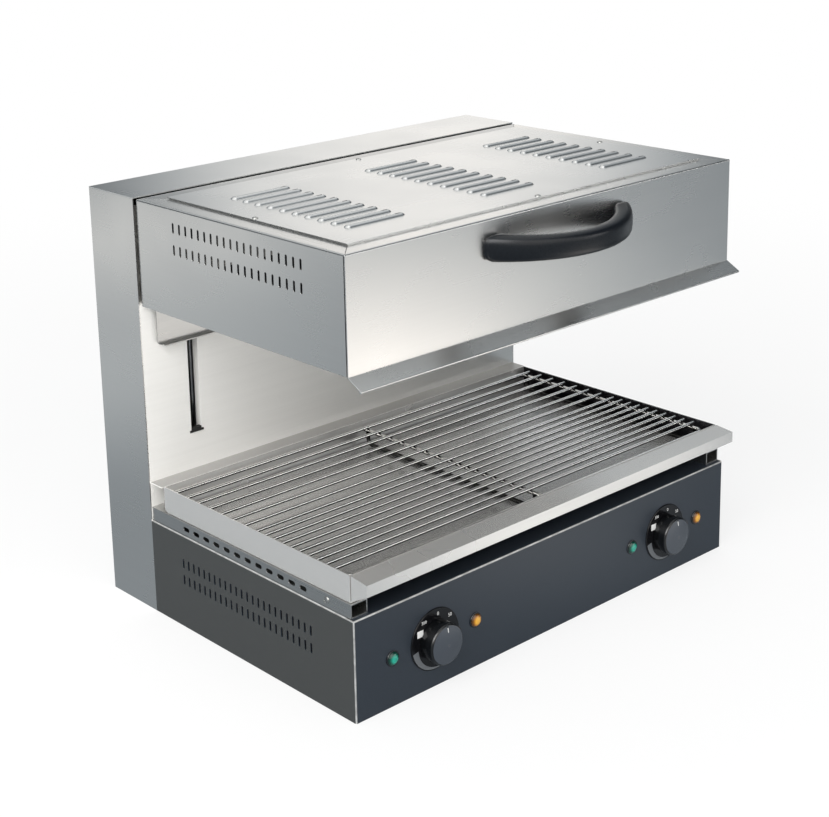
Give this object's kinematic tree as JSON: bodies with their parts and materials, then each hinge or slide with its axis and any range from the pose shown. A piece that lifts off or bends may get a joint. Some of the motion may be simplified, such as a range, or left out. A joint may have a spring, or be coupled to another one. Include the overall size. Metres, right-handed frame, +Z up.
{
  "type": "lift salamander grill",
  "caption": "Electric counter-top cheese melter: a louvred heating hood with a bow handle slides down a rear column over a wire grate and drip tray on a control base.",
  "frame": {"origin": "centre of the 600 x 438 mm footprint, on the underside of the base (mount underside)", "axes": "+X to the right of a person facing the controls, along the width, which is the longest side; +Y to the back; +Z up"},
  "size_m": [0.6, 0.5172, 0.4947],
  "materials": {
    "base_paint": "satin, fine grain",
    "galvanised": "dull zinc coat",
    "stainless": "satin",
    "polished_steel": "bright",
    "screw_steel": "plain",
    "black_rubber": "matte",
    "black_plastic": "satin",
    "gloss_black": "gloss",
    "steatite": "matte",
    "ground_steel": "ground",
    "spring_steel": "oiled",
    "bronze": "sintered",
    "green_lens": "clear",
    "amber_lens": "clear",
    "reflector_steel": "bright",
    "element_sheath": "oxidised",
    "tray_steel": "satin",
    "chromed_wire": "bright"
  },
  "bodies": {
    "cabinet": {"base_side_left": "base_paint", "base_side_right": "base_paint", "control_panel": "base_paint", "base_deck": "base_paint", "base_floor": "galvanised", "leg_inserts": "galvanised", "tray_rail_left": "stainless", "tray_rail_right": "stainless", "rail_screws": "screw_steel", "column_side_left": "stainless", "column_side_right": "stainless", "column_top": "stainless", "column_face": "polished_steel", "slot_stops": "black_rubber", "rear_cover": "stainless", "rear_screws": "screw_steel", "cable_gland": "black_plastic", "terminal_block": "steatite", "rod_bracket_upper": "galvanised", "rod_bracket_lower": "galvanised", "guide_rod_left": "ground_steel", "guide_rod_right": "ground_steel", "lift_spring_left": "spring_steel", "lift_spring_right": "spring_steel", "dial_left": "gloss_black", "dial_right": "gloss_black", "thermostat_left": "steatite", "thermostat_right": "steatite", "power_lamp_left": "green_lens", "power_lamp_right": "green_lens", "heat_lamp_left": "amber_lens", "heat_lamp_right": "amber_lens", "lamp_bezels": "black_plastic"},
    "hood": {"hood_side_left": "stainless", "hood_side_right": "stainless", "hood_front": "stainless", "hood_deflector": "stainless", "hood_rear_plate": "stainless", "hood_top_cover": "stainless", "cover_screws": "screw_steel", "reflector": "reflector_steel", "heating_element_left": "element_sheath", "heating_element_right": "element_sheath", "element_supports": "galvanised", "handle": "black_plastic", "handle_screws": "screw_steel", "lift_arm_left": "galvanised", "lift_arm_right": "galvanised", "guide_bushes": "bronze", "carriage_beam": "galvanised"},
    "tray": {"drip_tray": "tray_steel", "tray_lip": "tray_steel"},
    "grate": {"wire_grate": "chromed_wire", "grate_frame": "chromed_wire", "grate_runners": "chromed_wire"},
    "left_control": {"knob_left": "black_plastic", "shaft_left": "ground_steel"},
    "right_control": {"knob_right": "black_plastic", "shaft_right": "ground_steel"}
  },
  "joints": [
    {"name": "hood_lift", "type": "slide", "parent": "cabinet", "child": "hood", "axis": [0, 0, -1], "range_m": [0, 0.14], "stiffness_N_per_m": 300, "springref_m": -0.31, "deforming": ["lift_spring_left", "lift_spring_right"]},
    {"name": "tray_slide", "type": "slide", "parent": "cabinet", "child": "tray", "axis": [0, -1, 0], "range_m": [0, 0.25]},
    {"name": "grate_lift", "type": "slide", "parent": "tray", "child": "grate", "axis": [0, 0, 1], "range_m": [0, 0.04]},
    {"name": "knob_left_turn", "type": "hinge", "parent": "cabinet", "child": "left_control", "pos_m": [-0.1893, -0.219, 0.0545], "axis": [0, 1, 0], "range_deg": [0, 270]},
    {"name": "knob_right_turn", "type": "hinge", "parent": "cabinet", "child": "right_control", "pos_m": [0.1893, -0.219, 0.0545], "axis": [0, 1, 0], "range_deg": [0, 270]}
  ]
}
